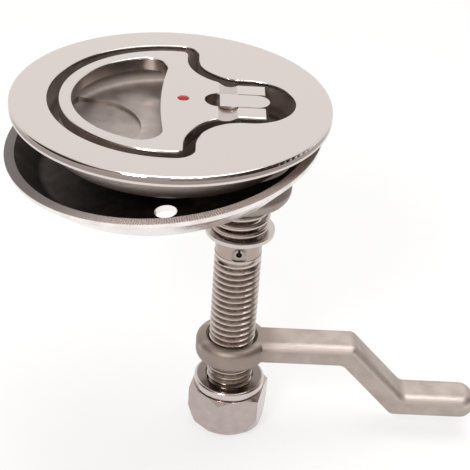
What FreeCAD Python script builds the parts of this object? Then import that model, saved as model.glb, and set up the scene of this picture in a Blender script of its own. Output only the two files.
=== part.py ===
import FreeCAD, Part
import math
import os
from FreeCAD import Vector

# Flush lift-and-turn compression latch in cast stainless steel.
# Millimetres, +Z up. The origin is the centre of the flange's underside, which lies on the panel.
# The handle points to -X and the cam arm to +X. The spindle stands off centre, towards +X.

# Flange and cup
flange_d = 76.0
flange_t = 2.2
flange_edge_r = 0.7
cup_d = 61.4
cup_depth = 8.8             # from the flange's underside to the cup's outer bottom
cup_bottom_r = 4.0
spindle_x = 18.2            # spindle axis, beside the centre of the flange
cut_over = 1.0              # how far a cutting tool runs past the metal

# Pear-shaped recess for the handle
recess_r = 29.1
recess_depth = 8.6          # below the flange's top face
recess_floor_r = 3.6
recess_corner_r = 4.5
recess_lip_r = 0.3          # rounds the recess's top edge
recess_end_r = 11.0         # round end about the spindle
flank_x = 6.0               # straight flank beside the neck
shoulder_r = 11.2           # metal shoulder between the flank and the round end
scoop_x = -21.5             # deeper finger scoop in the floor
scoop_r = 14.5
scoop_depth = 1.0
scoop_wall_gap = 1.8
heel_seat_r = 10.2          # flat seat that the handle's heels turn on

# Holes for the two clamping screws, hidden under the handle's corners
screw_x = 0.8
screw_pitch = 47.0
screw_hole_d = 5.2

# Boss, spindle bore, seal groove and spring pocket
boss_d = 24.0
boss_end_z = -23.9
boss_end_r = 3.5
shaft_d = 11.0
running_clearance = 0.05    # radial, between turning pieces
pocket_d = 15.3
pocket_depth = 11.1         # up from the boss end
groove_z = -9.6
groove_w = 2.2
groove_d = 14.2
ring_squeeze_gap = 0.06     # what the seal leaves at the shaft and at its groove

# Handle
handle_gap = 2.65           # between the handle and the recess wall
handle_t = 3.2
handle_edge_r = 0.5
neck_half_w = 8.5
handle_end_x = 22.2
ear_start_x = 13.6
ear_slope_run = 1.2         # the ear's front face leans back to the heel
ear_slope_rise = 1.6
finger_arc_x = -1.3
finger_arc_r = 22.1
finger_bar_x = -2.7
finger_bar_r = 120.0
finger_corner_r = 5.0
slot_start_x = 7.7
slot_w = 6.9
dip_x = 13.2
dip_r = 3.9
dip_depth = 0.9
pivot_drop = 3.2            # hinge pin below the flange's top face
pin_d = 3.0
pin_inset = 0.2
pin_press_gap = 0.03        # radial, in the holes that hold the hinge pin and the roll pin
heel_gap = 0.25             # between the heel and the recess floor, folded and upright

# Enamel dot
dot_x = 2.7
dot_d = 2.8
dot_sink = 0.5
dot_rise = 0.25
dot_gap = 0.02

# Spindle
tang_w = 6.4
tang_start_x = 11.3
tang_end_x = 23.1
tang_foot_gap = 0.3         # between the sunk tang and the recess floor
flats_sink = 0.2            # the flats below the tang start this far under the floor
spigot_d = 8.0
spigot_len = 8.5
spigot_gap = 0.05
socket_end_gap = 0.4

# Spring and its seat
wire_d = 1.4
spring_d = 14.8
spring_half_turns = 15
spring_closed_halves = 1    # half turns that lie closed at each end
spring_closed_gap = 0.06    # between closed turns
spring_end_gap = 0.06
seat_d = 17.5
seat_t = 1.0
shaft_end_z = -32.5         # top of the spring seat, where the shaft steps down

# Threaded stud and the roll pin that holds it on the spigot
hub_d = 11.8
hub_len = 5.8
thread_d = 12.0
stud_len = 59.1
stud_chamfer = 1.0
roll_pin_drop = 3.9         # below the spring seat
roll_pin_d = 3.0
roll_pin_bore = 1.5
roll_pin_slot = 0.6
spot_face_d = 4.6           # milled flat round each end of the roll pin
spot_face_depth = 0.42

# Cam arm
arm_w = 10.0
arm_t = 6.5
arm_lift = 6.7              # bare thread between the washer and the arm
arm_edge_r = 2.4
arm_run = 30.9              # spindle axis to the first bend
arm_offset = 14.35          # length of the sloping stretch along X
arm_drop = 15.5
arm_reach = 66.2            # spindle axis to the tip
arm_bend_r = 2.6
arm_tip_r = 3.6
eye_d = 18.8
eye_gap = 0.1               # radial, between the eye and the thread
eye_chamfer = 0.8
eye_edge_r = 2.0
eye_blend_r = 3.0
eye_blend_inset = 1.6       # the webs stop short of the eye's rounded rims

# Lock washer and self-locking nut
nut_overrun = 0.7           # the stud ends this far inside the nut
washer_d = 18.6
washer_bore = 12.9
washer_t = 2.5
washer_split = 1.2
washer_edge_r = 0.6
nut_af = 19.0
nut_h = 12.0
nut_hex_h = 10.7
nut_taper_h = 4.2           # over which the corners draw in towards the collar
nut_taper_end_r = 9.8
nut_collar_d = 17.4
nut_collar_r = 0.5
nut_turn_deg = 15.0         # how the flats happen to stand
nut_chamfer_deg = 30.0
nut_lip_h = 0.5             # the lip that holds the insert
nut_lip_w = 0.6
nut_gap = 0.03              # radial, between the nut and the thread
insert_h = 2.4
insert_d = 15.4
insert_gap = 0.02

# Backing dish, which lies loose round the cup and is shown rocked over
dish_floor_gap = 0.3        # radial, from the cup to the edge of the dish's floor
dish_flare = 7.0            # radial, from the edge of the floor to the rim
dish_depth = 8.2
dish_wall = 1.6
dish_rim_w = 2.4
dish_rim_h = 1.2
dish_bend_r = 2.0
dish_boss_hole_gap = 2.0
dish_level_z = -4.9         # rim height when the dish lies level
dish_rock_deg = 7.3
dish_rock_heading = 22.0    # plan direction in which the dish rises
dish_rock_z = -19.7         # height of the rocking axis on the boss

# Derived heights and places
top_z = flange_t
floor_z = top_z - recess_depth
pivot_z = top_z - pivot_drop
heel_reach = handle_end_x - spindle_x
lift_drop = pivot_z - floor_z - heel_reach - heel_gap      # how far an upright handle lets the spindle sink
tang_low_z = floor_z + lift_drop + tang_foot_gap
pocket_z = boss_end_z + pocket_depth
hub_z = shaft_end_z - seat_t
roll_pin_z = hub_z - roll_pin_drop
nut_z = hub_z - stud_len - nut_overrun + nut_h
washer_z = nut_z + washer_t
arm_top_z = washer_z + arm_lift + arm_t

X = Vector(1, 0, 0)
Z = Vector(0, 0, 1)
Y = Vector(0, 1, 0)


def at(x, y, z):
    return Vector(x, y, z)


def cylinder(d, z_low, z_high, x=0.0, y=0.0):
    return Part.makeCylinder(d / 2, z_high - z_low, at(x, y, z_low), Z)


def box(x0, x1, y0, y1, z0, z1):
    return Part.makeBox(x1 - x0, y1 - y0, z1 - z0, at(x0, y0, z0))


def edges_where(shape, test):
    return [e for e in shape.Edges if test(e)]


def arc(a, b, c):
    return Part.Arc(a, b, c).toShape()


def line(a, b):
    return Part.LineSegment(a, b).toShape()


def mirrored_outline(upper):
    """A closed plan outline from its half with Y above 0."""
    half = Part.Wire(Part.__sortEdges__(upper))
    lower = half.mirror(at(0, 0, 0), Y)
    return Part.Wire(Part.__sortEdges__(half.Edges + lower.Edges))


def on_circle(x, y, r, degrees):
    a = math.radians(degrees)
    return at(x + r * math.cos(a), y + r * math.sin(a), 0)


def circle_arc(x, y, r, start, end):
    """An arc about (x, y) between two angles in degrees."""
    middle = (start + end) / 2
    return arc(on_circle(x, y, r, start), on_circle(x, y, r, middle), on_circle(x, y, r, end))


def pear_parts(inset):
    """Radii and centres of the recess outline, or of the handle's outline at a given inset."""
    flank = flank_x - inset
    shoulder = shoulder_r + inset
    end = recess_end_r - inset
    shoulder_x = flank + shoulder
    shoulder_y = math.sqrt((end + shoulder) ** 2 - (spindle_x - shoulder_x) ** 2)
    corner = recess_corner_r - inset
    corner_x = flank - corner
    big = recess_r - inset
    corner_y = math.sqrt((big - corner) ** 2 - corner_x ** 2)
    return flank, shoulder, end, shoulder_x, shoulder_y, corner, corner_x, corner_y, big


def pear_left_edges(inset):
    """The upper half of the pear from its far left to the start of the shoulder."""
    flank, _, _, _, shoulder_y, corner, corner_x, corner_y, big = pear_parts(inset)
    meet = math.degrees(math.atan2(corner_y, corner_x))
    return [
        circle_arc(0, 0, big, 180, meet),
        circle_arc(corner_x, corner_y, corner, meet, 0),
        line(at(flank, corner_y, 0), at(flank, shoulder_y, 0)),
    ]


def recess_outline():
    _, shoulder, end, shoulder_x, shoulder_y = pear_parts(0)[:5]
    lean = math.degrees(math.atan2(shoulder_y, shoulder_x - spindle_x))
    upper = pear_left_edges(0)
    upper.append(circle_arc(shoulder_x, shoulder_y, shoulder, 180, lean + 180))
    upper.append(circle_arc(spindle_x, 0, end, lean, 0))
    return mirrored_outline(upper)


def prism(outline, z_low, z_high):
    solid = Part.Face(outline).extrude(at(0, 0, z_high - z_low))
    solid.translate(at(0, 0, z_low))
    return solid


def side_prism(edges, y_low, y_high):
    """A solid from a closed outline in the XZ plane, between two Y values."""
    solid = Part.Face(Part.Wire(Part.__sortEdges__(edges))).extrude(at(0, y_high - y_low, 0))
    solid.translate(at(0, y_low, 0))
    return solid


def make_housing():
    """The cast body: flange, cup with its recess, and the boss with its bore and spring pocket."""
    flange = cylinder(flange_d, 0, flange_t)
    rim = edges_where(flange, lambda e: abs(e.BoundBox.ZMin - flange_t) < 0.01)
    flange = flange.makeFillet(flange_edge_r, rim)
    cup = cylinder(cup_d, -cup_depth, flange_t / 2)
    low = edges_where(cup, lambda e: abs(e.BoundBox.ZMax + cup_depth) < 0.01)
    cup = cup.makeFillet(cup_bottom_r, low)
    boss = cylinder(boss_d, boss_end_z, -cup_depth + cup_bottom_r, spindle_x)
    nose = edges_where(boss, lambda e: abs(e.BoundBox.ZMax - boss_end_z) < 0.01)
    boss = boss.makeFillet(boss_end_r, nose)
    body = flange.fuse([cup, boss])
    recess = prism(recess_outline(), floor_z, top_z + cut_over)
    bed = edges_where(recess, lambda e: abs(e.BoundBox.ZMax - floor_z) < 0.01)
    recess = recess.makeFillet(recess_floor_r, bed)
    seat = cylinder(2 * heel_seat_r, floor_z, top_z, spindle_x)
    scoop = cylinder(2 * scoop_r, floor_z - scoop_depth, floor_z + cut_over, scoop_x)
    scoop_limit = cylinder(2 * (recess_r - scoop_wall_gap), floor_z - scoop_depth, top_z)
    bore = cylinder(shaft_d + 2 * running_clearance, boss_end_z, top_z, spindle_x)
    pocket = cylinder(pocket_d, boss_end_z - cut_over, pocket_z, spindle_x)
    groove = cylinder(groove_d, groove_z - groove_w / 2, groove_z + groove_w / 2, spindle_x)
    screws = [
        cylinder(screw_hole_d, -cup_depth - cut_over, top_z, screw_x, side * screw_pitch / 2)
        for side in (-1, 1)
    ]
    cuts = [recess, seat, scoop.common(scoop_limit), bore, pocket, groove] + screws
    body = body.cut(cuts).removeSplitter()
    reach = recess_r + recess_lip_r

    def on_the_lip(e):
        level = e.BoundBox.ZMin > top_z - 0.01
        return level and e.BoundBox.XMin > -reach and e.BoundBox.XMax < reach

    return body.makeFillet(recess_lip_r, edges_where(body, on_the_lip))


def handle_outline():
    """The handle's plan outline: the pear at the handle gap, with a squared end at the ears."""
    _, shoulder, _, shoulder_x, shoulder_y = pear_parts(handle_gap)[:5]
    reach = math.degrees(math.asin((shoulder_y - neck_half_w) / shoulder))
    upper = pear_left_edges(handle_gap)
    upper.append(circle_arc(shoulder_x, shoulder_y, shoulder, 180, 180 + reach))
    neck = on_circle(shoulder_x, shoulder_y, shoulder, 180 + reach)
    upper.append(line(neck, at(handle_end_x, neck_half_w, 0)))
    upper.append(line(at(handle_end_x, neck_half_w, 0), at(handle_end_x, 0, 0)))
    return mirrored_outline(upper)


def finger_hole():
    """The finger opening between the handle's rim and its cross bar."""
    low_z = top_z - handle_t - cut_over
    disc = cylinder(2 * finger_arc_r, low_z, top_z + cut_over, finger_arc_x)
    bar = cylinder(2 * finger_bar_r, low_z, top_z + cut_over, finger_bar_x + finger_bar_r)
    hole = disc.cut(bar)
    corners = edges_where(hole, lambda e: e.BoundBox.ZLength > handle_t)
    corners = [e for e in corners if abs(e.BoundBox.Center.y) > finger_arc_r / 2]
    return hole.makeFillet(finger_corner_r, corners)


def quarter_ellipse(centre, across, down):
    """The quarter from straight below the centre round to its +X side, in the XZ plane."""
    low = centre - Z * down
    side = centre + X * across
    if down > across:
        whole = Part.Ellipse(low, side, centre)
    else:
        whole = Part.Ellipse(side, low, centre)
    start = whole.parameter(low)
    end = whole.parameter(side)
    if (end - start) % (2 * math.pi) > math.pi:
        start, end = end, start
    return Part.ArcOfEllipse(whole, start, end).toShape()


def ear_profile():
    """The side view of an ear: flat top, square back, elliptical heel and a sloping front."""
    heel_z = floor_z + heel_gap
    corners = [
        at(spindle_x, 0, heel_z),
        at(ear_start_x + ear_slope_run, 0, heel_z + ear_slope_rise),
        at(ear_start_x, 0, top_z - handle_t),
        at(ear_start_x, 0, top_z),
        at(handle_end_x, 0, top_z),
        at(handle_end_x, 0, pivot_z),
    ]
    edges = [line(a, b) for a, b in zip(corners, corners[1:])]
    edges.append(quarter_ellipse(at(spindle_x, 0, pivot_z), heel_reach, pivot_z - heel_z))
    return edges


def make_handle():
    """The flat pull with its finger opening, and the two forked ears that carry the pin.

    The half with Y below 0 is made and then mirrored.
    """
    plate = prism(handle_outline(), top_z - handle_t, top_z)
    plate = plate.cut(finger_hole())
    ears = side_prism(ear_profile(), -neck_half_w, neck_half_w)
    half_space = box(-flange_d, flange_d, -flange_d, 0, -flange_d, flange_d)
    half = plate.fuse(ears).removeSplitter().common(half_space)
    rims = edges_where(
        half, lambda e: e.BoundBox.ZMin > top_z - 0.01 and e.BoundBox.YMin < -0.01
    )
    half = half.makeFillet(handle_edge_r, rims)
    slot_r = slot_w / 2
    slot_mid_x = slot_start_x + slot_r
    low_z = floor_z - cut_over
    high_z = top_z + cut_over
    slot = cylinder(slot_w, low_z, high_z, slot_mid_x)
    slot = slot.fuse(box(slot_mid_x, handle_end_x + cut_over, -slot_r, slot_r, low_z, high_z))
    dip = Part.makeCylinder(
        dip_r, 4 * neck_half_w, at(dip_x, -2 * neck_half_w, top_z + dip_r - dip_depth), Y
    )
    hole = Part.makeCylinder(
        pin_d / 2 + pin_press_gap, 4 * neck_half_w, at(spindle_x, -2 * neck_half_w, pivot_z), Y
    )
    dimple = cylinder(dot_d + 2 * dot_gap, top_z - dot_sink, high_z, dot_x)
    half = half.cut([slot, dip, hole, dimple])
    return half.fuse(half.mirror(at(0, 0, 0), Y)).removeSplitter()


def make_hinge_pin():
    length = 2 * (neck_half_w - pin_inset)
    return Part.makeCylinder(pin_d / 2, length, at(spindle_x, -length / 2, pivot_z), Y)


def make_dot():
    """A drop of red enamel with a domed top."""
    r = dot_d / 2
    rise_r = (r * r + dot_rise * dot_rise) / (2 * dot_rise)
    base = cylinder(dot_d, top_z - dot_sink, top_z + dot_rise, dot_x)
    dome = Part.makeSphere(rise_r, at(dot_x, 0, top_z + dot_rise - rise_r))
    return base.common(dome)


def make_spindle():
    """The turned shaft, with a flat tang for the handle above and a spigot for the stud below."""
    half = tang_w / 2
    flats_z = floor_z - flats_sink
    shaft = cylinder(shaft_d, shaft_end_z, flats_z, spindle_x)
    flats = cylinder(shaft_d, flats_z, tang_low_z, spindle_x)
    flats = flats.common(box(spindle_x - shaft_d, spindle_x + shaft_d, -half, half, flats_z, top_z))
    tang = box(tang_start_x, tang_end_x - half, -half, half, tang_low_z, top_z)
    tang = tang.fuse(cylinder(tang_w, tang_low_z, top_z, tang_end_x - half))
    spigot = cylinder(spigot_d, shaft_end_z - spigot_len, shaft_end_z, spindle_x)
    spindle = shaft.fuse([flats, tang, spigot])
    hole = Part.makeCylinder(
        pin_d / 2 + running_clearance, 2 * tang_w, at(spindle_x, -tang_w, pivot_z), Y
    )
    return spindle.cut([hole, roll_pin_hole()]).removeSplitter()


def make_seal():
    """The rubber ring between the shaft and the groove in the housing."""
    inner = shaft_d / 2 + ring_squeeze_gap
    outer = groove_d / 2 - ring_squeeze_gap
    section_r = (outer - inner) / 2
    return Part.makeTorus(inner + section_r, section_r, at(spindle_x, 0, groove_z), Z)


def make_spring():
    """Round wire wound from the spring seat to the pocket's roof, with closed turns at both ends.

    Each half turn is a half ring tilted about Y, so the wire runs on smoothly from one to the next.
    """
    low = shaft_end_z + wire_d / 2 + spring_end_gap
    high = pocket_z - wire_d / 2 - spring_end_gap
    mean_r = (spring_d - wire_d) / 2
    closed_rise = (wire_d + spring_closed_gap) / 2
    open_halves = spring_half_turns - 2 * spring_closed_halves
    open_rise = (high - low - 2 * spring_closed_halves * closed_rise) / open_halves
    start = at(spindle_x - mean_r, 0, low)
    halves = []
    for i in range(spring_half_turns):
        closed = min(i, spring_half_turns - 1 - i) < spring_closed_halves
        rise = closed_rise if closed else open_rise
        side = -1 if i % 2 else 1
        end = at(spindle_x + side * mean_r, 0, start.z + rise)
        middle = (start + end) / 2
        section = Part.Face(Part.Wire(Part.makeCircle(wire_d / 2, start, Y)))
        halves.append(section.revolve(middle, (start - middle).cross(Y * -side), 180))
        start = end
    return halves[0].fuse(halves[1:])


def make_spring_seat():
    disc = cylinder(seat_d, hub_z, shaft_end_z, spindle_x)
    bore_d = spigot_d + 2 * running_clearance
    bore = cylinder(bore_d, hub_z - cut_over, shaft_end_z + cut_over, spindle_x)
    return disc.cut(bore)


def roll_pin_hole():
    start = at(spindle_x, -thread_d, roll_pin_z)
    return Part.makeCylinder(roll_pin_d / 2 + pin_press_gap, 2 * thread_d, start, Y)


def make_stud():
    """The hub that takes the spigot, and the threaded length below it as a plain cylinder."""
    end_z = hub_z - stud_len
    hub = cylinder(hub_d, hub_z - hub_len, hub_z, spindle_x)
    thread = cylinder(thread_d, end_z, hub_z - hub_len, spindle_x)
    tip = edges_where(thread, lambda e: abs(e.BoundBox.ZMax - end_z) < 0.01)
    thread = thread.makeChamfer(stud_chamfer, tip)
    socket_z = shaft_end_z - spigot_len - socket_end_gap
    socket = cylinder(spigot_d + 2 * spigot_gap, socket_z, hub_z + cut_over, spindle_x)
    flat_y = hub_d / 2 - spot_face_depth
    spots = [
        Part.makeCylinder(spot_face_d / 2, cut_over, at(spindle_x, side * flat_y, roll_pin_z), Y * side)
        for side in (-1, 1)
    ]
    return hub.fuse(thread).cut([socket, roll_pin_hole()] + spots).removeSplitter()


def make_roll_pin():
    """A rolled spring pin: a tube with a slot along it."""
    length = hub_d - 2 * pin_inset
    start = at(spindle_x, -length / 2, roll_pin_z)
    tube = Part.makeCylinder(roll_pin_d / 2, length, start, Y)
    bore = Part.makeCylinder(roll_pin_bore / 2, length, start, Y)
    slot = box(
        spindle_x - roll_pin_slot / 2,
        spindle_x + roll_pin_slot / 2,
        -length / 2,
        length / 2,
        roll_pin_z,
        roll_pin_z + roll_pin_d,
    )
    return tube.cut([bore, slot])


def bend_point(a, b, c, r):
    """The two tangent points and the middle of the arc that rounds corner b."""
    u = (a - b).normalize()
    v = (c - b).normalize()
    half = u.getAngle(v) / 2
    reach = r / math.tan(half)
    towards = (u + v).normalize()
    middle = b + towards * (r / math.sin(half) - r)
    return b + u * reach, middle, b + v * reach


def rounded_outline(points, radii):
    """Edges of a closed outline with the given radius at each corner, 0 for a sharp one."""
    count = len(points)
    starts = []
    edges = []
    for i, (point, r) in enumerate(zip(points, radii)):
        before = points[i - 1]
        after = points[(i + 1) % count]
        if r:
            first, middle, last = bend_point(before, point, after, r)
            edges.append(arc(first, middle, last))
            starts.append((first, last))
        else:
            starts.append((point, point))
    for i in range(count):
        edges.append(line(starts[i][1], starts[(i + 1) % count][0]))
    return edges


def make_arm():
    """The eye on the thread and the bar that runs out, slopes down and runs out again."""
    low_z = arm_top_z - arm_t
    slope = math.atan2(arm_drop, arm_offset)
    shift = arm_t / 2 * math.tan(slope / 2)
    bend_1 = spindle_x + arm_run
    bend_2 = bend_1 + arm_offset
    tip_x = spindle_x + arm_reach
    corners = [
        at(spindle_x, 0, arm_top_z),
        at(bend_1 + shift, 0, arm_top_z),
        at(bend_2 + shift, 0, arm_top_z - arm_drop),
        at(tip_x, 0, arm_top_z - arm_drop),
        at(tip_x, 0, low_z - arm_drop),
        at(bend_2 - shift, 0, low_z - arm_drop),
        at(bend_1 - shift, 0, low_z),
        at(spindle_x, 0, low_z),
    ]
    radii = [0, arm_bend_r, arm_bend_r, 0, 0, arm_bend_r, arm_bend_r, 0]
    bar = side_prism(rounded_outline(corners, radii), -arm_w / 2, arm_w / 2)
    tips = edges_where(
        bar, lambda e: abs(e.BoundBox.Center.x - tip_x) < 0.01 and e.BoundBox.ZLength > arm_t / 2
    )
    bar = bar.makeFillet(arm_tip_r, tips)

    def along_the_bar(e):
        flat = e.BoundBox.YLength < 0.01 and abs(abs(e.BoundBox.Center.y) - arm_w / 2) < 0.01
        vertical = e.BoundBox.XLength < 0.01
        at_tip = e.BoundBox.XMin > tip_x - arm_tip_r - 0.01 and e.BoundBox.ZLength < 0.01
        return (flat and not vertical) or at_tip

    bar = bar.makeFillet(arm_edge_r, edges_where(bar, along_the_bar))
    eye = cylinder(eye_d, low_z, arm_top_z, spindle_x)
    rims = edges_where(eye, lambda e: e.BoundBox.ZLength < 0.01)
    eye = eye.makeFillet(eye_edge_r, rims)
    hole_d = thread_d + 2 * eye_gap
    hole = cylinder(hole_d, low_z - cut_over, arm_top_z + cut_over, spindle_x)
    flare = Part.makeCone(
        hole_d / 2, hole_d / 2 + eye_chamfer, eye_chamfer, at(spindle_x, 0, arm_top_z - eye_chamfer)
    )
    return bar.fuse([eye, web_fillets(low_z)]).cut([hole, flare]).removeSplitter()


def web_fillets(low_z):
    """The two concave webs that blend the eye into the bar, in plan."""
    eye_r = eye_d / 2
    half = arm_w / 2
    y = half + eye_blend_r
    x = spindle_x + math.sqrt((eye_r + eye_blend_r) ** 2 - y * y)
    scale = eye_r / (eye_r + eye_blend_r)
    touch = at(spindle_x + (x - spindle_x) * scale, y * scale, 0)
    foot = at(x, half, 0)
    towards = ((touch - at(x, y, 0)) + (foot - at(x, y, 0))).normalize()
    middle = at(x, y, 0) + towards * eye_blend_r
    centre = at(spindle_x, 0, 0)
    upper = [arc(touch, middle, foot), line(foot, at(x, 0, 0)), line(centre, touch)]
    return prism(mirrored_outline(upper), low_z + eye_blend_inset, arm_top_z - eye_blend_inset)


def make_washer():
    """A spring lock washer of square section, split at the back."""
    ring = cylinder(washer_d, nut_z, washer_z, spindle_x)
    rims = edges_where(ring, lambda e: e.BoundBox.ZLength < 0.01)
    ring = ring.makeFillet(washer_edge_r, rims)
    bore = cylinder(washer_bore, nut_z - cut_over, washer_z + cut_over, spindle_x)
    split = box(
        spindle_x - washer_split / 2, spindle_x + washer_split / 2, 0, washer_d, nut_z, washer_z
    )
    return ring.cut([bore, split])


def make_nut():
    """The self-locking nut: a hexagon whose corners draw in towards the rolled collar."""
    corner_r = nut_af / 2 / math.cos(math.radians(30))
    low_z = nut_z - nut_h
    hex_low = nut_z - nut_hex_h
    turns = [60 * i + nut_turn_deg for i in range(7)]
    hexagon = prism(Part.makePolygon([on_circle(spindle_x, 0, corner_r, a) for a in turns]), hex_low, nut_z)
    wide_r = corner_r + cut_over
    taper = nut_taper_h / (corner_r - nut_taper_end_r)
    chamfer = math.tan(math.radians(nut_chamfer_deg))
    side = [
        at(spindle_x, 0, hex_low),
        at(spindle_x + nut_taper_end_r, 0, hex_low),
        at(spindle_x + wide_r, 0, hex_low + taper * (wide_r - nut_taper_end_r)),
        at(spindle_x + wide_r, 0, nut_z - chamfer * (wide_r - nut_af / 2)),
        at(spindle_x + nut_af / 2, 0, nut_z),
        at(spindle_x, 0, nut_z),
    ]
    turned = Part.Face(Part.makePolygon(side + side[:1])).revolve(at(spindle_x, 0, 0), Z, 360)
    collar = cylinder(nut_collar_d, low_z, hex_low + nut_collar_r, spindle_x)
    rim = edges_where(collar, lambda e: abs(e.BoundBox.ZMax - low_z) < 0.01)
    collar = collar.makeFillet(nut_collar_r, rim)
    insert_z = low_z + nut_lip_h
    bore = cylinder(thread_d + 2 * nut_gap, low_z - cut_over, nut_z + cut_over, spindle_x)
    seat = cylinder(insert_d, insert_z, insert_z + insert_h, spindle_x)
    mouth = cylinder(insert_d - 2 * nut_lip_w, low_z - cut_over, insert_z + insert_gap, spindle_x)
    return hexagon.common(turned).fuse(collar).cut([bore, seat, mouth]).removeSplitter()


def make_insert():
    """The nylon ring held in the nut's collar."""
    low_z = nut_z - nut_h + nut_lip_h + insert_gap
    high_z = low_z + insert_h - 2 * insert_gap
    ring = cylinder(insert_d - 2 * insert_gap, low_z, high_z, spindle_x)
    bore = cylinder(thread_d + 2 * nut_gap, low_z - cut_over, high_z + cut_over, spindle_x)
    return ring.cut(bore)


def make_dish():
    """The pressed backing dish, modelled level and then rocked to how it lies."""
    floor_r = cup_d / 2 + dish_floor_gap
    rim_r = floor_r + dish_flare
    lip_z = -dish_rim_h
    inner_r = rim_r - dish_rim_w
    slope = math.atan2(dish_depth - dish_rim_h, rim_r - floor_r)
    inner_floor_r = floor_r - dish_wall * math.tan(slope / 2)
    outer = [
        at(0, 0, -dish_depth),
        at(floor_r, 0, -dish_depth),
        at(rim_r, 0, lip_z),
        at(rim_r, 0, 0),
        at(inner_r, 0, 0),
        at(inner_floor_r, 0, dish_wall - dish_depth),
        at(0, 0, dish_wall - dish_depth),
    ]
    radii = [0, dish_bend_r + dish_wall, dish_bend_r, 0, 0, dish_bend_r, 0]
    section = Part.Face(Part.Wire(Part.__sortEdges__(rounded_outline(outer, radii))))
    dish = section.revolve(at(0, 0, 0), Z, 360)
    boss_hole = cylinder(boss_d + 2 * dish_boss_hole_gap, -2 * dish_depth, cut_over, spindle_x)
    screws = [
        cylinder(screw_hole_d, -2 * dish_depth, cut_over, screw_x, side * screw_pitch / 2)
        for side in (-1, 1)
    ]
    dish = dish.cut([boss_hole] + screws)
    dish.translate(at(0, 0, dish_level_z))
    heading = math.radians(dish_rock_heading)
    axis = at(-math.sin(heading), math.cos(heading), 0)
    dish.rotate(at(spindle_x, 0, dish_rock_z), axis, -dish_rock_deg)
    return dish


parts = {
    "housing": make_housing,
    "pull_handle": make_handle,
    "hinge_pin": make_hinge_pin,
    "enamel_dot": make_dot,
    "spindle": make_spindle,
    "seal_ring": make_seal,
    "spring": make_spring,
    "spring_seat": make_spring_seat,
    "threaded_stud": make_stud,
    "roll_pin": make_roll_pin,
    "cam_arm": make_arm,
    "lock_washer": make_washer,
    "lock_nut": make_nut,
    "nut_insert": make_insert,
    "backing_dish": make_dish,
}

os.makedirs("parts", exist_ok=True)
for name, make in parts.items():
    shape = make()
    shape.exportStep(f"parts/{name}.step")
    print(name, "solids", len(shape.Solids), "valid", shape.isValid(), "volume", round(shape.Volume, 1))
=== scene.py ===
import bpy
import math
from mathutils import Matrix, Quaternion, Vector


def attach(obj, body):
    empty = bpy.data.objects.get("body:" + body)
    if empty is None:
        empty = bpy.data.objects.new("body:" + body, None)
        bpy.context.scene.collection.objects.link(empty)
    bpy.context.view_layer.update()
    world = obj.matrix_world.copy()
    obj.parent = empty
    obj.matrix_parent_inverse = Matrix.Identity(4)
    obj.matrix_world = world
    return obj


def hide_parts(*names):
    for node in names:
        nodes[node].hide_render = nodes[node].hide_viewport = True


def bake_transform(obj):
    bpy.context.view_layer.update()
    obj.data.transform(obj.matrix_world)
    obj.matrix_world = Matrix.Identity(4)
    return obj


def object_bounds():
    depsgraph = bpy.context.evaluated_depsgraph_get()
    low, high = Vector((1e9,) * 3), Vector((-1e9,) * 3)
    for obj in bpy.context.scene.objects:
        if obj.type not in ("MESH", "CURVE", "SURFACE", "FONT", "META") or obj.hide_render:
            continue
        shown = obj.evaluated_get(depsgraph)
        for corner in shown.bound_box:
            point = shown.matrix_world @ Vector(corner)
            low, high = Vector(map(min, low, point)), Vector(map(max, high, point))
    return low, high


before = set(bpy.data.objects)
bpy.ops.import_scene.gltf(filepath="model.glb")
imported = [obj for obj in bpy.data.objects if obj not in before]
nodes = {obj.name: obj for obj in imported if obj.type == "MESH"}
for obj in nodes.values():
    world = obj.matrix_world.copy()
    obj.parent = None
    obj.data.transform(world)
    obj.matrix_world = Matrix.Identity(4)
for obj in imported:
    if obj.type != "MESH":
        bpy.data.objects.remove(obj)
cad_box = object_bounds()
mm = 0.001


# Camera
# A long lens in front of the latch and above it, leaning a little to the left.
camera_place = Vector((4.9, -278.9, 140.6)) * mm
camera_aim = Vector((17.1, 0, -35.1)) * mm
camera_lean = math.radians(4.1)
lens = bpy.data.cameras.new("camera")
lens.lens = 101.0
lens.sensor_width = 36
lens.clip_start = 0.01
camera = bpy.data.objects.new("camera", lens)
camera.location = camera_place
camera.rotation_mode = "QUATERNION"
view_line = camera_aim - camera_place
camera.rotation_quaternion = view_line.to_track_quat("-Z", "Y") @ Quaternion((0, 0, 1), camera_lean)
bpy.context.scene.collection.objects.link(camera)
bpy.context.scene.camera = camera
bpy.context.scene.view_settings.view_transform = "Standard"


# Studio
# A pale floor in a room that is white behind and overhead, grey in front and dark between, so
# that the polished steel has something dark to reflect. Two soft lamps light the latch.
def add_node(tree, kind, inputs=None, **settings):
    """Adds a shader node. An input given as a socket is linked, and any other is set."""
    new = tree.nodes.new("ShaderNode" + kind)
    for name, value in settings.items():
        setattr(new, name, value)
    for key, value in (inputs or {}).items():
        if isinstance(value, bpy.types.NodeSocket):
            tree.links.new(value, new.inputs[key])
        else:
            new.inputs[key].default_value = value
    return new


def colour_ramp(tree, value, stops):
    """Colours a value from 0 to 1 by stops of place and colour."""
    new = add_node(tree, "ValToRGB", {"Fac": value})
    elements = new.color_ramp.elements
    elements.remove(elements[1])
    elements[0].position, elements[0].color = stops[0][0], (*stops[0][1], 1)
    for place, colour in stops[1:]:
        elements.new(place).color = (*colour, 1)
    return new.outputs["Color"]


def spread(tree, value, low, high, to_low=0.0, to_high=1.0, smooth=False):
    """Maps a value from one range to another and keeps it inside."""
    inputs = {"Value": value, "From Min": low, "From Max": high, "To Min": to_low, "To Max": to_high}
    kind = "SMOOTHSTEP" if smooth else "LINEAR"
    return add_node(tree, "MapRange", inputs, interpolation_type=kind).outputs["Result"]


def calculate(tree, operation, a, b=0.0):
    """One sum on a value, or on two."""
    return add_node(tree, "Math", {0: a, 1: b}, operation=operation).outputs["Value"]


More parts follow.
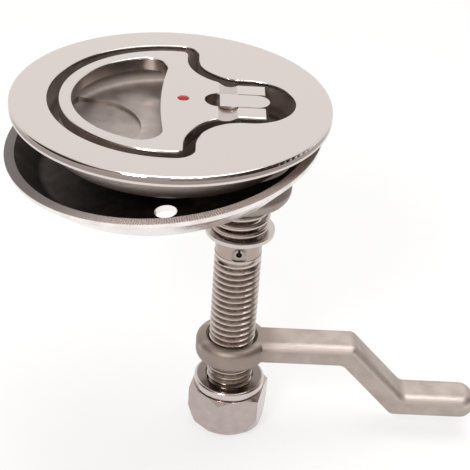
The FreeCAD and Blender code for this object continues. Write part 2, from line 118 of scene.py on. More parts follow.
def mixed(tree, share, a, b, kind="RGBA"):
    """Mixes two colours or two numbers by a share."""
    first, second, result = {"RGBA": (6, 7, 2), "FLOAT": (2, 3, 0)}[kind]
    new = add_node(tree, "Mix", {0: share}, data_type=kind)
    for key, value in ((first, a), (second, b)):
        if isinstance(value, bpy.types.NodeSocket):
            tree.links.new(value, new.inputs[key])
        else:
            new.inputs[key].default_value = (*value, 1) if kind == "RGBA" else value
    return new.outputs[result]


dark_side = (0.055, 0.042, 0.035)
room_stops = [
    (0.0, (0.50, 0.44, 0.41)),
    (0.16, (0.46, 0.40, 0.37)),
    (0.28, dark_side),
    (0.60, dark_side),
    (0.72, (0.94, 0.93, 0.92)),
    (1.0, (1.0, 0.99, 0.98)),
]
ceiling_colour = (1.0, 0.99, 0.98)
ceiling_start = 0.76
ceiling_full = 0.92
room = bpy.data.worlds.new("room")
bpy.context.scene.world = room
room.use_nodes = True
tree = room.node_tree
facing = add_node(tree, "TexCoord").outputs["Generated"]
split = add_node(tree, "SeparateXYZ", {"Vector": facing}).outputs
walls = colour_ramp(tree, spread(tree, split["Y"], -1, 1), room_stops)
overhead = spread(tree, split["Z"], ceiling_start, ceiling_full, smooth=True)
room_colour = mixed(tree, overhead, walls, ceiling_colour)
tree.links.new(room_colour, tree.nodes["Background"].inputs["Color"])

floor_size = 6
floor_gap = 0.1 * mm
floor_z = cad_box[0][2] - floor_gap
floor_glow = 0.7
bpy.ops.object.select_all(action="DESELECT")
bpy.ops.mesh.primitive_plane_add(size=floor_size, location=(0, 0, floor_z))
floor = bpy.context.object
floor.name = "floor"
bpy.ops.object.transform_apply(location=True, rotation=False, scale=False)
paper = bpy.data.materials.new("paper")
paper.use_nodes = True
tree = paper.node_tree
sheet = tree.nodes["Principled BSDF"]
sheet.inputs["Base Color"].default_value = (0.93, 0.925, 0.92, 1)
sheet.inputs["Roughness"].default_value = 0.9
sheet.inputs["Specular IOR Level"].default_value = 0.1
path = add_node(tree, "LightPath").outputs
mirrored = calculate(tree, "MAXIMUM", path["Is Glossy Ray"], path["Is Transmission Ray"])
watched = calculate(tree, "MAXIMUM", path["Is Camera Ray"], mirrored)
lift = calculate(tree, "MULTIPLY", watched, floor_glow)
glow = add_node(tree, "Emission").outputs["Emission"]
seen = add_node(tree, "MixShader", {"Fac": lift, 1: sheet.outputs["BSDF"], 2: glow})
tree.links.new(seen.outputs["Shader"], tree.nodes["Material Output"].inputs["Surface"])
floor.data.materials.append(paper)


def soft_lamp(name, place, width, power):
    """A square lamp turned towards the middle of the latch."""
    light = bpy.data.lights.new(name, "AREA")
    light.size = width
    light.energy = power
    lamp = bpy.data.objects.new(name, light)
    lamp.location = place
    lamp.rotation_mode = "QUATERNION"
    aim = (Vector(cad_box[0]) + Vector(cad_box[1])) / 2
    lamp.rotation_quaternion = (aim - Vector(place)).to_track_quat("-Z", "Y")
    bpy.context.scene.collection.objects.link(lamp)


soft_lamp("front_lamp", place=(-0.25, -0.55, 0.50), width=0.16, power=2.6)
soft_lamp("top_lamp", place=(0.10, 0.15, 0.90), width=0.60, power=4.0)


# Housing
# One stainless casting: flange, cup with its pear-shaped recess, and the boss. The flange is
# ground and mirror polished, the recess is satin, and the outside below keeps its cast skin.
def steel(name, colour, roughness):
    """A bare steel with its shader, its node tree and the place on the piece."""
    made = bpy.data.materials.new(name)
    made.use_nodes = True
    tree = made.node_tree
    shader = tree.nodes["Principled BSDF"]
    shader.inputs["Metallic"].default_value = 1
    shader.inputs["Base Color"].default_value = (*colour, 1)
    shader.inputs["Roughness"].default_value = roughness
    place = add_node(tree, "TexCoord").outputs["Object"]
    return made, tree, shader, place


def along(tree, place, axis):
    """How far a place lies along one axis."""
    return add_node(tree, "SeparateXYZ", {"Vector": place}).outputs[axis]


def from_axis(tree, place, centre_x=0.0):
    """How far a place lies from an upright axis."""
    moved = add_node(tree, "VectorMath", {0: place, 1: (centre_x, 0, 0)}, operation="SUBTRACT")
    flat = add_node(
        tree, "VectorMath", {0: moved.outputs["Vector"], 1: (1, 1, 0)}, operation="MULTIPLY"
    )
    reach = add_node(tree, "VectorMath", {0: flat.outputs["Vector"]}, operation="LENGTH")
    return reach.outputs["Value"]


def both(tree, a, b):
    """The share that is left where two shares meet."""
    return calculate(tree, "MULTIPLY", a, b)


def noise(tree, place, size, detail=4.0, stretch=(1, 1, 1)):
    """Noise with features of about one size, in metres, stretched along the axes."""
    laid = add_node(tree, "Mapping", {"Vector": place, "Scale": stretch}).outputs["Vector"]
    made = add_node(tree, "TexNoise", {"Vector": laid, "Scale": 1 / size, "Detail": detail})
    return made.outputs["Fac"]


noise_low = 0.3
noise_high = 0.7


def varied(tree, pattern, low, high):
    """Lets a noise move a value between two ends."""
    return spread(tree, pattern, noise_low, noise_high, low, high)


def painted(tree, shader, colour=None, roughness=None):
    """Lets patterns set the colour and the roughness of a finish."""
    for pattern, socket in ((colour, "Base Color"), (roughness, "Roughness")):
        if pattern is not None:
            tree.links.new(pattern, shader.inputs[socket])


def raised(tree, shader, height, depth):
    """Gives a shader a bump from a height between 0 and 1, of a real depth in metres."""
    bump = add_node(tree, "Bump", {"Height": height, "Distance": depth, "Strength": 1.0})
    tree.links.new(bump.outputs["Normal"], shader.inputs["Normal"])


def use_on(made, *names):
    """Gives CAD nodes this finish in every slot."""
    for name in names:
        for slot in nodes[name].material_slots:
            slot.material = made


polished_colour = (0.705, 0.640, 0.615)
# A dark band painted round the side of the flange is a painted reflection.
edge_band_painted_reflection = (0.30, 0.25, 0.23)
cast_colour = (0.60, 0.53, 0.485)
worn_dark = (0.44, 0.38, 0.35)
worn_light = (0.57, 0.51, 0.48)
# The foot of the recess wall and the recess floor are painted darker as shade.
wall_foot_painted_shade = (0.20, 0.165, 0.145)
wall_foot_shade_share = 0.8
scoop_painted_shade = (0.30, 0.25, 0.235)
scoop_shade_share = 0.2
# The upper side of the boss, just below the cup, is painted darker as shade, and its lower end keeps
# boss_colour.
boss_colour = (0.42, 0.365, 0.33)
boss_painted_shade = (0.20, 0.168, 0.148)
mirror_roughness = 0.08
skin_depth = 0.1 * mm
flat_height = 0.5

# In each pair of heights or radii, a finish starts at the first and is full at the second.
cup_r = 30.7 * mm
top_from = (1.3 * mm, 1.7 * mm)
rim_from_r = (cup_r, cup_r + 1 * mm)
rim_from = (0, 0.1 * mm)
recess_from_r = (cup_r - 1 * mm, cup_r - 1.5 * mm)
recess_from = (-8.2 * mm, -8.0 * mm)
wall_foot_from = (-6.3 * mm, -5.9 * mm)
wall_foot_up_to = (-2.6 * mm, -4.2 * mm)
scoop_from = (-6.45 * mm, -6.8 * mm)
boss_from = (-8.4 * mm, -9.4 * mm)
boss_shade_from = (-20.6 * mm, -19.8 * mm)
edge_band_from = (0.5 * mm, 0.65 * mm)
edge_band_up_to = (1.75 * mm, 1.6 * mm)

made, tree, shader, place = steel("cast_polished_steel", polished_colour, mirror_roughness)
distance = from_axis(tree, place)
height = along(tree, place, "Z")
cloud = noise(tree, place, size=9 * mm, detail=3)
skin = noise(tree, place, size=0.55 * mm, detail=5)
fine = noise(tree, place, size=0.12 * mm, detail=2)
stain = noise(tree, place, size=4 * mm, detail=6)

on_top = spread(tree, height, *top_from)
on_rim = both(tree, spread(tree, distance, *rim_from_r), spread(tree, height, *rim_from))
polish = calculate(tree, "MAXIMUM", on_top, on_rim)
in_recess = both(
    tree, spread(tree, distance, *recess_from_r), spread(tree, height, *recess_from)
)
at_foot = both(
    tree,
    spread(tree, height, *wall_foot_from, smooth=True),
    spread(tree, height, *wall_foot_up_to, smooth=True),
)
in_scoop = spread(tree, height, *scoop_from, smooth=True)
on_boss = spread(tree, height, *boss_from)
on_band = both(tree, spread(tree, height, *edge_band_from), spread(tree, height, *edge_band_up_to))

# The random stain tone is painted darker as shade at the foot of the recess wall and on the recess
# floor.
tone_and_painted_shade = colour_ramp(tree, stain, [(noise_low, worn_dark), (noise_high, worn_light)])
tone_and_painted_shade = mixed(tree, both(tree, at_foot, wall_foot_shade_share), tone_and_painted_shade, wall_foot_painted_shade)
tone_and_painted_shade = mixed(tree, both(tree, in_scoop, scoop_shade_share), tone_and_painted_shade, scoop_painted_shade)
# Painted shade on the boss's upper side, lighter towards its lower end.
boss_shade_mix = mixed(tree, spread(tree, height, *boss_shade_from), boss_colour, boss_painted_shade)
outside = mixed(tree, on_boss, cast_colour, boss_shade_mix)
# The polished colour takes a painted dark reflection as a band round the flange's side.
polish_with_painted_band = mixed(tree, both(tree, on_band, on_rim), polished_colour, edge_band_painted_reflection)
matt = mixed(
    tree, in_recess, varied(tree, skin, 0.5, 0.65), varied(tree, stain, 0.42, 0.52), "FLOAT"
)
painted(
    tree, shader,
    colour=mixed(tree, polish, mixed(tree, in_recess, outside, tone_and_painted_shade), polish_with_painted_band),
    roughness=mixed(tree, polish, matt, varied(tree, cloud, 0.05, 0.10), "FLOAT"),
)
rough_skin = mixed(tree, in_recess, skin, mixed(tree, 0.5, fine, stain, "FLOAT"), "FLOAT")
raised(tree, shader, mixed(tree, polish, rough_skin, flat_height, "FLOAT"), skin_depth)
use_on(made, "housing")


# Pull handle
# A flat casting with a finger opening and two forked ears, polished on top and satin at its
# sides and underneath. Everything below the top, the dips by the ears too, is coloured darker,
# partly for the satin finish and partly as painted shade.
satin_and_shade_colour = (0.57, 0.51, 0.475)
handle_top_from = (1.9 * mm, 2.1 * mm)
made, tree, shader, place = steel("handle_steel", polished_colour, mirror_roughness)
on_top = spread(tree, along(tree, place, "Z"), *handle_top_from)
cloud = noise(tree, place, size=6 * mm, detail=3)
soft = varied(tree, cloud, 0.18, 0.3)
gloss = varied(tree, cloud, 0.05, 0.09)
painted(
    tree, shader,
    colour=mixed(tree, on_top, satin_and_shade_colour, polished_colour),
    roughness=mixed(tree, on_top, soft, gloss, "FLOAT"),
)
raised(tree, shader, noise(tree, place, size=0.4 * mm, detail=3), 0.004 * mm)
use_on(made, "pull_handle")


# Enamel dot
# A drop of red enamel that fills a dimple in the handle.
deep_red = (0.26, 0.002, 0.004)
clear_red = (0.40, 0.004, 0.007)
enamel = bpy.data.materials.new("red_enamel")
enamel.use_nodes = True
tree = enamel.node_tree
shader = tree.nodes["Principled BSDF"]
shader.inputs["Roughness"].default_value = 0.2
shader.inputs["Specular IOR Level"].default_value = 0.3
place = add_node(tree, "TexCoord").outputs["Object"]
mottle = noise(tree, place, size=0.8 * mm, detail=3)
painted(tree, shader, colour_ramp(tree, mottle, [(noise_low, deep_red), (noise_high, clear_red)]))
use_on(enamel, "enamel_dot")


# Spindle and hinge pin
# Turned bars. The top of the spindle's flat tang is polished with the handle, and the hinge
# pin keeps the fine rings of the lathe.
dulled_share = 0.86


def turned_steel(name, colour, low, high):
    """Bright steel with fine rings round the upright axis."""
    made, tree, shader, place = steel(name, colour, low)
    rings = noise(tree, place, size=0.09 * mm, detail=2, stretch=(0.04, 0.04, 1))
    patch = noise(tree, place, size=2.5 * mm, detail=4)
    dulled = tuple(dulled_share * c for c in colour)
    shade = colour_ramp(tree, patch, [(0.25, dulled), (0.7, colour)])
    painted(tree, shader, shade, varied(tree, patch, low, high))
    raised(tree, shader, rings, 0.006 * mm)
    return made


bright_colour = (0.60, 0.52, 0.485)
tang_top_colour = (0.69, 0.63, 0.605)
tang_top_from = (2.1 * mm, 2.19 * mm)
bar_roughness = 0.18
use_on(turned_steel("turned_steel", bright_colour, 0.12, 0.2), "hinge_pin")
made, tree, shader, place = steel("spindle_steel", bright_colour, 0.12)
on_top = spread(tree, along(tree, place, "Z"), *tang_top_from)
wear = noise(tree, place, size=2.5 * mm, detail=4)
gloss = varied(tree, wear, 0.07, 0.12)
painted(
    tree, shader,
    colour=mixed(tree, on_top, bright_colour, tang_top_colour),
    roughness=mixed(tree, on_top, bar_roughness, gloss, "FLOAT"),
)
use_on(made, "spindle")


# Seal ring
# A black nitrile ring in the groove of the bore. It is hidden unless the latch is apart.
rubber_black = (0.018, 0.018, 0.018)
rubber_dusty = (0.04, 0.039, 0.038)
rubber = bpy.data.materials.new("seal_rubber")
rubber.use_nodes = True
tree = rubber.node_tree
shader = tree.nodes["Principled BSDF"]
place = add_node(tree, "TexCoord").outputs["Object"]
dust = noise(tree, place, size=0.5 * mm, detail=4)
shade = colour_ramp(tree, dust, [(0.3, rubber_black), (0.8, rubber_dusty)])
painted(tree, shader, shade, varied(tree, dust, 0.5, 0.7))
use_on(rubber, "seal_ring")


# Spring
# Drawn stainless wire, wound with a closed half turn at each end. It stretches between the
# pocket in the boss and the seat.
def pick(piece):
    """Selects one piece alone and makes it the active one."""
    bpy.ops.object.select_all(action="DESELECT")
    piece.select_set(True)
    bpy.context.view_layer.objects.active = piece


def smoothed(piece, degrees):
    """Shades a piece smooth, and keeps the edges that are sharper than an angle."""
    pick(piece)
    bpy.ops.object.shade_smooth_by_angle(angle=math.radians(degrees))


def finished_in(piece, *finishes):
    """Gives a new piece these finishes, one to a slot."""
    piece.data.materials.clear()
    for finish in finishes:
        piece.data.materials.append(finish)


spindle_x = 18.2 * mm
wire_r = 0.7 * mm
coil_r = 6.7 * mm
spring_top_z = -12.86 * mm
spring_low_z = -32.44 * mm
end_pitch = 1.46 * mm
end_turns = 0.5
turns = 7.5
coil_steps = 28
wire_dark = (0.48, 0.41, 0.37)
wire_light = (0.62, 0.55, 0.51)

coil = bpy.data.curves.new("spring_coil", "CURVE")
coil.dimensions = "3D"
coil.bevel_depth = wire_r
coil.bevel_resolution = 4
coil.use_fill_caps = True
line = coil.splines.new("NURBS")
low = spring_low_z + wire_r
high = spring_top_z - wire_r
end_rise = end_turns * end_pitch
middle_turns = turns - 2 * end_turns
middle_pitch = (high - low - 2 * end_rise) / middle_turns
count = round(turns * coil_steps)
line.points.add(count)
for i in range(count + 1):
    turn = turns * i / count
    if turn < end_turns:
        z = low + turn * end_pitch
    elif turn > turns - end_turns:
        z = high - (turns - turn) * end_pitch
    else:
        z = low + end_rise + (turn - end_turns) * middle_pitch
    angle = math.pi + 2 * math.pi * turn
    line.points[i].co = (spindle_x + coil_r * math.cos(angle), coil_r * math.sin(angle), z, 1)
line.order_u = 3
line.use_endpoint_u = True
line.resolution_u = 2
spring_curve = bpy.data.objects.new("spring_curve", coil)
bpy.context.scene.collection.objects.link(spring_curve)
spring = bpy.data.objects.new("wound_spring", bpy.data.meshes.new_from_object(spring_curve))
bpy.data.objects.remove(spring_curve)
bpy.context.scene.collection.objects.link(spring)
smoothed(spring, degrees=40)

made, tree, shader, place = steel("spring_wire", (0.60, 0.53, 0.49), 0.2)
draw = noise(tree, place, size=0.3 * mm, detail=3)
shade = colour_ramp(tree, draw, [(0.3, wire_dark), (0.65, wire_light)])
painted(tree, shader, shade, varied(tree, draw, 0.14, 0.26))
raised(tree, shader, noise(tree, place, size=0.06 * mm, detail=2), 0.003 * mm)
finished_in(spring, made)
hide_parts("spring")
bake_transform(spring)


# Spring seat and roll pin
# A stamped disc under the spring, and the rolled pin that holds the stud on the spindle.
seat_colour = (0.66, 0.60, 0.57)
roll_pin_colour = (0.42, 0.37, 0.34)
use_on(turned_steel("seat_steel", seat_colour, 0.2, 0.3), "spring_seat")
use_on(turned_steel("roll_pin_steel", roll_pin_colour, 0.25, 0.4), "roll_pin")


# Threaded stud
# Turned steel: a plain hub with the roll pin's hole, and an M12 thread of 1.75 mm pitch that
# runs out just below the hub. The roots of the thread are dull.
def move_mesh(piece, x=0.0):
    """Moves a piece's mesh along X and leaves its object at the origin."""
    pick(piece)
    piece.location = (x, 0, 0)
    bpy.ops.object.transform_apply(location=True, rotation=True, scale=True)


weld_gap = 0.002 * mm
axis_weld_gap = 0.001 * mm


def tidy_faces(piece):
    """Merges doubles and points the faces outwards."""
    pick(piece)
    bpy.ops.object.mode_set(mode="EDIT")
    bpy.ops.mesh.select_all(action="SELECT")
    bpy.ops.mesh.remove_doubles(threshold=weld_gap)
    bpy.ops.mesh.normals_make_consistent(inside=False)
    bpy.ops.object.mode_set(mode="OBJECT")


def drawn_line(name, start, strides):
    """A chain of edges in the XZ plane, from a radius and height by strides out and up."""
    bpy.ops.object.select_all(action="DESELECT")
    bpy.ops.mesh.primitive_plane_add(size=1 * mm)
    piece = bpy.context.object
    piece.name = name
    bpy.ops.object.mode_set(mode="EDIT")
    bpy.ops.mesh.select_mode(type="VERT")
    bpy.ops.mesh.select_all(action="SELECT")
    bpy.ops.mesh.merge(type="CENTER")
    bpy.ops.transform.translate(value=(start[0], 0, start[1]))
    for out, up in strides:
        bpy.ops.mesh.extrude_vertices_move(TRANSFORM_OT_translate={"value": (out, 0, up)})
    bpy.ops.object.mode_set(mode="OBJECT")
    return piece


def lathe(name, profile, steps, centre_x=0.0):
    """A closed turned shape from a profile of radius and height."""
    strides = [(r1 - r0, z1 - z0) for (r0, z0), (r1, z1) in zip(profile, profile[1:])]
    piece = drawn_line(name, profile[0], strides)
    spin = piece.modifiers.new("spin", "SCREW")
    spin.steps = spin.render_steps = steps
    spin.use_merge_vertices = True
    spin.merge_threshold = axis_weld_gap
    bpy.ops.object.modifier_apply(modifier=spin.name)
    tidy_faces(piece)
    move_mesh(piece, centre_x)
    return piece


def carve(piece, tool, operation="DIFFERENCE"):
    """Cuts, joins or limits a piece by a tool, which is then deleted."""
    pick(piece)
    change = piece.modifiers.new("carve", "BOOLEAN")
    change.operation = operation
    change.solver = "EXACT"
    change.object = tool
    bpy.ops.object.modifier_apply(modifier=change.name)
    bpy.data.objects.remove(tool)


def round_bar(radius, length, place, axis, sides=48):
    """A round cutting tool through a place, along Y or Z."""
    turn = {"Y": (math.pi / 2, 0, 0), "Z": (0, 0, 0)}[axis]
    bpy.ops.object.select_all(action="DESELECT")
    bpy.ops.mesh.primitive_cylinder_add(
        vertices=sides, radius=radius, depth=length, location=place, rotation=turn
    )
    return bpy.context.object


hub_z = -33.5 * mm
hub_r = 5.9 * mm
hub_low_z = -39.3 * mm
hub_edge = 0.3 * mm
stud_low_z = -92.6 * mm
stud_chamfer = 1.0 * mm
thread_r = 6.0 * mm
thread_pitch = 1.75 * mm
root_r = 4.95 * mm
crest_w = 0.26 * mm
root_w = 0.30 * mm
runout = 4.0 * mm
thread_steps = 72
spare_turns = 2
overlap = 0.02 * mm
pin_z = -37.4 * mm
pin_hole_r = 1.52 * mm
spot_r = 2.3 * mm
spot_depth = 0.42 * mm

flank = (thread_pitch - crest_w - root_w) / 2
thread_start = stud_low_z - spare_turns * thread_pitch
one_ridge = [(0, root_w), (thread_r - root_r, flank), (0, crest_w), (root_r - thread_r, flank)]
thread = drawn_line("threaded_stud_steel", (root_r, thread_start), one_ridge)
wind = thread.modifiers.new("wind", "SCREW")
wind.steps = wind.render_steps = thread_steps
wind.screw_offset = thread_pitch
wind.iterations = math.ceil((hub_low_z - stud_low_z) / thread_pitch) + 2 * spare_turns
bpy.ops.object.modifier_apply(modifier=wind.name)
for point in thread.data.vertices:
    fade = (point.co.z - (hub_low_z - runout)) / runout
    if fade > 0:
        radius = math.hypot(point.co.x, point.co.y)
        grown = radius + (thread_r - radius) * min(fade, 1)
        point.co.x *= grown / radius
        point.co.y *= grown / radius
bpy.ops.object.mode_set(mode="EDIT")
bpy.ops.mesh.select_all(action="SELECT")
bpy.ops.mesh.remove_doubles(threshold=weld_gap)
bpy.ops.mesh.select_all(action="DESELECT")
bpy.ops.mesh.select_mode(type="EDGE")
bpy.ops.mesh.select_non_manifold()
bpy.ops.mesh.edge_face_add()
bpy.ops.mesh.select_all(action="SELECT")
bpy.ops.mesh.normals_make_consistent(inside=False)
bpy.ops.object.mode_set(mode="OBJECT")
move_mesh(thread, spindle_x)

blank_r = thread_r + overlap
blank_profile = [
    (0, stud_low_z),
    (thread_r - stud_chamfer, stud_low_z),
    (blank_r, stud_low_z + stud_chamfer),
    (blank_r, hub_low_z),
    (0, hub_low_z),
]
carve(thread, lathe("blank", blank_profile, thread_steps, spindle_x), "INTERSECT")
hub_profile = [
    (0, hub_low_z - hub_edge),
    (hub_r - hub_edge, hub_low_z - hub_edge),
    (hub_r, hub_low_z),
    (hub_r, hub_z),
    (0, hub_z),
]
hub = lathe("hub", hub_profile, thread_steps, spindle_x)
carve(hub, round_bar(pin_hole_r, 4 * hub_r, (spindle_x, 0, pin_z), "Y"))
for side in (-1, 1):
    spot_y = side * (hub_r - spot_depth + hub_r)
    carve(hub, round_bar(spot_r, 2 * hub_r, (spindle_x, spot_y, pin_z), "Y"))
carve(thread, hub, "UNION")
smoothed(thread, degrees=32)

# The roots of the thread are coloured darker than the crests.
root_dark = (0.27, 0.22, 0.19)
root_light = (0.45, 0.38, 0.335)
hub_colour = (0.42, 0.345, 0.305)
root_roughness = 0.34
crest_from_r = (thread_r - 0.45 * mm, thread_r - 0.1 * mm)
hub_from = (hub_low_z - 0.2 * mm, hub_low_z)
made, tree, shader, place = steel("thread_steel", bright_colour, 0.16)
crest = spread(tree, from_axis(tree, place, spindle_x), *crest_from_r, smooth=True)
on_hub = spread(tree, along(tree, place, "Z"), *hub_from)
thread_patch = noise(tree, place, size=1.2 * mm, detail=5)
dull = mixed(tree, spread(tree, thread_patch, 0.35, 0.7), root_dark, root_light)
bare = mixed(tree, on_hub, bright_colour, hub_colour)
gloss = varied(tree, thread_patch, 0.12, 0.2)
painted(
    tree, shader,
    colour=mixed(tree, crest, dull, bare),
    roughness=mixed(tree, crest, root_roughness, gloss, "FLOAT"),
)
rings = noise(tree, place, size=0.1 * mm, detail=2, stretch=(0.05, 0.05, 1))
raised(tree, shader, rings, 0.005 * mm)
finished_in(thread, made)
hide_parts("threaded_stud")
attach(thread, "spindle")


# Cam arm
# An investment casting with a blasted satin skin. Its upper edges carry a painted highlight,
# fainter near the eye, and the colour is darker round the eye on the thread.
arm_colour = (0.56, 0.49, 0.45)
arm_dark = (0.42, 0.355, 0.315)
arm_light = (0.52, 0.45, 0.41)
eye_colour = (0.33, 0.272, 0.235)
eye_share = 0.8
eye_roughness = 0.5
edge_highlight_colour = (0.67, 0.59, 0.55)
highlight_at_eye = 0.3
highlight_away = 0.9
eye_from_r = (14 * mm, 9 * mm)
slope_from_x = spindle_x + 32.3 * mm
slope_to_x = spindle_x + 46.7 * mm
inner_top_z = -65.6 * mm
outer_top_z = -81.1 * mm
edge_from_y = (3.1 * mm, 3.9 * mm)
edge_up_to_y = (4.98 * mm, 4.8 * mm)
edge_height = (3.0 * mm, 2.0 * mm)
made, tree, shader, place = steel("arm_steel", arm_colour, 0.4)
skin = noise(tree, place, size=0.22 * mm, detail=4)
patch = noise(tree, place, size=5 * mm, detail=5)
at_eye = spread(tree, from_axis(tree, place, spindle_x), *eye_from_r, smooth=True)
aside = calculate(tree, "ABSOLUTE", along(tree, place, "Y"))
top_z = spread(tree, along(tree, place, "X"), slope_from_x, slope_to_x, inner_top_z, outer_top_z)
under_top = calculate(tree, "SUBTRACT", top_z, along(tree, place, "Z"))
on_round = both(
    tree, spread(tree, aside, *edge_from_y, smooth=True), spread(tree, aside, *edge_up_to_y)
)
on_edge = both(tree, on_round, spread(tree, under_top, *edge_height))
# A painted highlight along the arm's upper edges, fainter near the eye.
painted_highlight = both(tree, on_edge, spread(tree, at_eye, 1.0, 0.0, highlight_at_eye, highlight_away))
shade = colour_ramp(tree, patch, [(0.30, arm_dark), (0.6, arm_light)])
shade = mixed(tree, both(tree, at_eye, eye_share), shade, eye_colour)
shade = mixed(tree, painted_highlight, shade, edge_highlight_colour)
satin = mixed(tree, at_eye, varied(tree, skin, 0.44, 0.56), eye_roughness, "FLOAT")
painted(tree, shader, shade, satin)
raised(tree, shader, skin, 0.05 * mm)
use_on(made, "cam_arm")


# Lock washer and nut
# Bright pressed and machined hardware, with a natural nylon ring in the nut. The washer's
# upper face is painted dark inside its rim, as painted shade under the arm's eye.
washer_colour = (0.64, 0.57, 0.54)
# The washer's upper face is painted dark as shade.
washer_face_painted_shade = (0.25, 0.205, 0.185)
washer_face_from_r = (8.9 * mm, 8.4 * mm)
washer_face_from = (-79.2 * mm, -78.9 * mm)
nut_colour = (0.53, 0.45, 0.425)
nylon_dark = (0.70, 0.69, 0.65)
nylon_light = (0.80, 0.79, 0.76)
made, tree, shader, place = steel("washer_steel", washer_colour, 0.2)
on_face = both(
    tree,
    spread(tree, from_axis(tree, place, spindle_x), *washer_face_from_r, smooth=True),
    spread(tree, along(tree, place, "Z"), *washer_face_from),
)
painted(tree, shader, mixed(tree, on_face, washer_colour, washer_face_painted_shade))
raised(tree, shader, noise(tree, place, size=0.3 * mm, detail=3), 0.01 * mm)
use_on(made, "lock_washer")
use_on(turned_steel("nut_steel", nut_colour, 0.08, 0.15), "lock_nut")
nylon = bpy.data.materials.new("nylon")
nylon.use_nodes = True
tree = nylon.node_tree
shader = tree.nodes["Principled BSDF"]
shader.inputs["Roughness"].default_value = 0.5
place = add_node(tree, "TexCoord").outputs["Object"]
milk = noise(tree, place, size=1 * mm, detail=3)
painted(tree, shader, colour_ramp(tree, milk, [(noise_low, nylon_dark), (noise_high, nylon_light)]))
use_on(nylon, "nut_insert")


# Backing dish
# A pressed and machined dish, loose round the boss. Its rim is cut with fine radial teeth
# that grip the back of the panel, and its inside is painted dark as shade.
def fillet(before, corner, after, radius, parts=5):
    """Points of a round corner between two straight stretches of a profile."""
    corner = Vector(corner)
    u = (Vector(before) - corner).normalized()
    v = (Vector(after) - corner).normalized()
    half = u.angle(v) / 2
    start = corner + u * radius / math.tan(half)
    centre = corner + (u + v).normalized() * radius / math.sin(half)
    sweep = (math.pi - 2 * half) * (1 if u.x * v.y - u.y * v.x < 0 else -1)
    arm = start - centre
    return [
        tuple(centre + Matrix.Rotation(sweep * i / parts, 2) @ arm)
        for i in range(parts + 1)
    ]


teeth = 420
tooth_depth = 0.3 * mm
dish_r = 38.0 * mm
rim_w = 2.4 * mm
rim_h = 1.2 * mm
rim_edge = 0.15 * mm
dish_depth = 8.2 * mm
dish_wall = 1.6 * mm
wall_slope = math.radians(45)
dish_floor_r = 31.0 * mm
dish_level_z = -4.9 * mm
outer_floor_fillet = 3.6 * mm
outer_lip_fillet = 1.2 * mm
inner_floor_fillet = 2.0 * mm
boss_gap_r = 14.0 * mm
screw_r = 2.6 * mm
screw_x = 0.8 * mm
screw_y = 23.5 * mm
cutter_h = 30 * mm
rock_heading = math.radians(22.0)
rock_angle = math.radians(-7.3)
rock_pivot_z = -19.7 * mm
facing_up = 0.1

floor_top_z = dish_wall - dish_depth
inner_r = dish_r - rim_w
outer_floor = (dish_floor_r, -dish_depth)
outer_lip = (dish_r, -rim_h)
inner_floor = (dish_floor_r - dish_wall * math.tan(wall_slope / 2), floor_top_z)
profile = [(0, -dish_depth)]
profile += fillet((0, -dish_depth), outer_floor, outer_lip, outer_floor_fillet)
profile += fillet(outer_floor, outer_lip, (dish_r, 0), outer_lip_fillet)
profile += [(dish_r, -rim_edge), (dish_r - rim_edge, 0), (inner_r + rim_edge, 0), (inner_r, -rim_edge)]
profile += fillet((inner_r, 0), inner_floor, (0, floor_top_z), inner_floor_fillet)
profile += [(0, floor_top_z)]
dish = lathe("pressed_dish", profile, 2 * teeth)
for point in dish.data.vertices:
    if point.co.z > -rim_edge / 2:
        step = round(math.atan2(point.co.y, point.co.x) / (math.pi / teeth))
        if step % 2:
            point.co.z -= tooth_depth
carve(dish, round_bar(boss_gap_r, cutter_h, (spindle_x, 0, 0), "Z", sides=96))
for side in (-1, 1):
    carve(dish, round_bar(screw_r, cutter_h, (screw_x, side * screw_y, 0), "Z"))
rock_axis = Vector((-math.sin(rock_heading), math.cos(rock_heading), 0))
rock = Matrix.Rotation(rock_angle, 4, rock_axis)
pivot = Vector((spindle_x, 0, rock_pivot_z))
level_place = Vector((0, 0, dish_level_z)) - pivot
dish.matrix_world = Matrix.Translation(pivot) @ rock @ Matrix.Translation(level_place)
pick(dish)
bpy.ops.object.transform_apply(location=True, rotation=True, scale=True)
smoothed(dish, degrees=25)

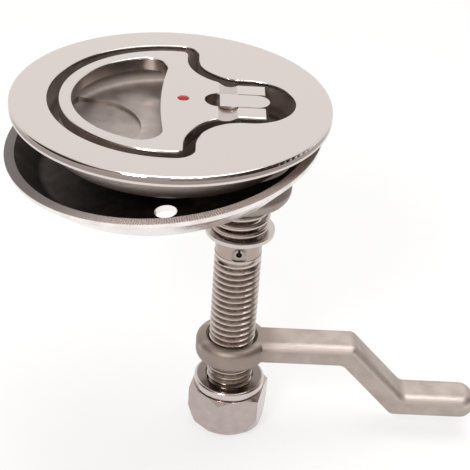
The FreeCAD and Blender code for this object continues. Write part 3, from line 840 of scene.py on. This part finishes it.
dish_dark = (0.74, 0.68, 0.65)
dish_light = (0.93, 0.88, 0.85)
outside_steel, tree, shader, place = steel("dish_steel", (0.72, 0.66, 0.635), 0.2)
patch = noise(tree, place, size=5 * mm, detail=5)
brush = noise(tree, place, size=0.15 * mm, detail=3)
shade = colour_ramp(tree, patch, [(0.3, dish_dark), (0.6, dish_light)])
painted(tree, shader, shade, varied(tree, patch, 0.16, 0.3))
raised(tree, shader, brush, 0.01 * mm)

# The inside of the dish is painted dark as shade.
inside_dark = (0.05, 0.04, 0.035)
inside_light = (0.11, 0.09, 0.08)
inside_painted_shade, tree, shader, place = steel("dish_inside_painted_shade", (0.10, 0.08, 0.07), 0.5)
patch = noise(tree, place, size=4 * mm, detail=5)
painted(tree, shader, colour_ramp(tree, patch, [(noise_low, inside_dark), (noise_high, inside_light)]))
raised(tree, shader, noise(tree, place, size=0.4 * mm, detail=4), 0.03 * mm)

# The two flanks of each tooth take a lit and a shaded copy of one colour, as painted light and painted
# shade, and the rim is painted darker towards the left as shade.
tooth_colours = {"tooth_flank_painted_light": (0.95, 0.89, 0.87), "tooth_flank_painted_shade": (0.66, 0.59, 0.56)}
tooth_roughness = 0.9
tooth_shade_share = 0.45
rim_lit_from_x = (-34 * mm, -4 * mm)
tooth_steels = []
for name, colour in tooth_colours.items():
    tooth, tree, shader, place = steel(name, colour, tooth_roughness)
    rim_lit_share = spread(tree, along(tree, place, "X"), *rim_lit_from_x, smooth=True)
    tone_and_painted_shade = tuple(tooth_shade_share * c for c in colour)
    painted(tree, shader, mixed(tree, rim_lit_share, tone_and_painted_shade, colour))
    tooth_steels.append(tooth)
finished_in(dish, outside_steel, inside_painted_shade, *tooth_steels)

to_level = rock.to_3x3().inverted()
up = rock.to_3x3() @ Vector((0, 0, 1))
centre = Matrix.Translation(pivot) @ rock @ level_place
for face in dish.data.polygons:
    above = (face.center - centre).dot(up)
    out = (face.center - centre - up * above).length
    on_rim = out > inner_r
    if face.normal.dot(up) > facing_up and not on_rim:
        face.material_index = 1
    elif on_rim and above > -tooth_depth and face.normal.dot(up) > facing_up:
        flat = to_level @ (face.center - centre)
        step = math.floor(math.atan2(flat.y, flat.x) / (math.pi / teeth))
        face.material_index = 2 + step % 2
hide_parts("backing_dish")
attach(dish, "dish")
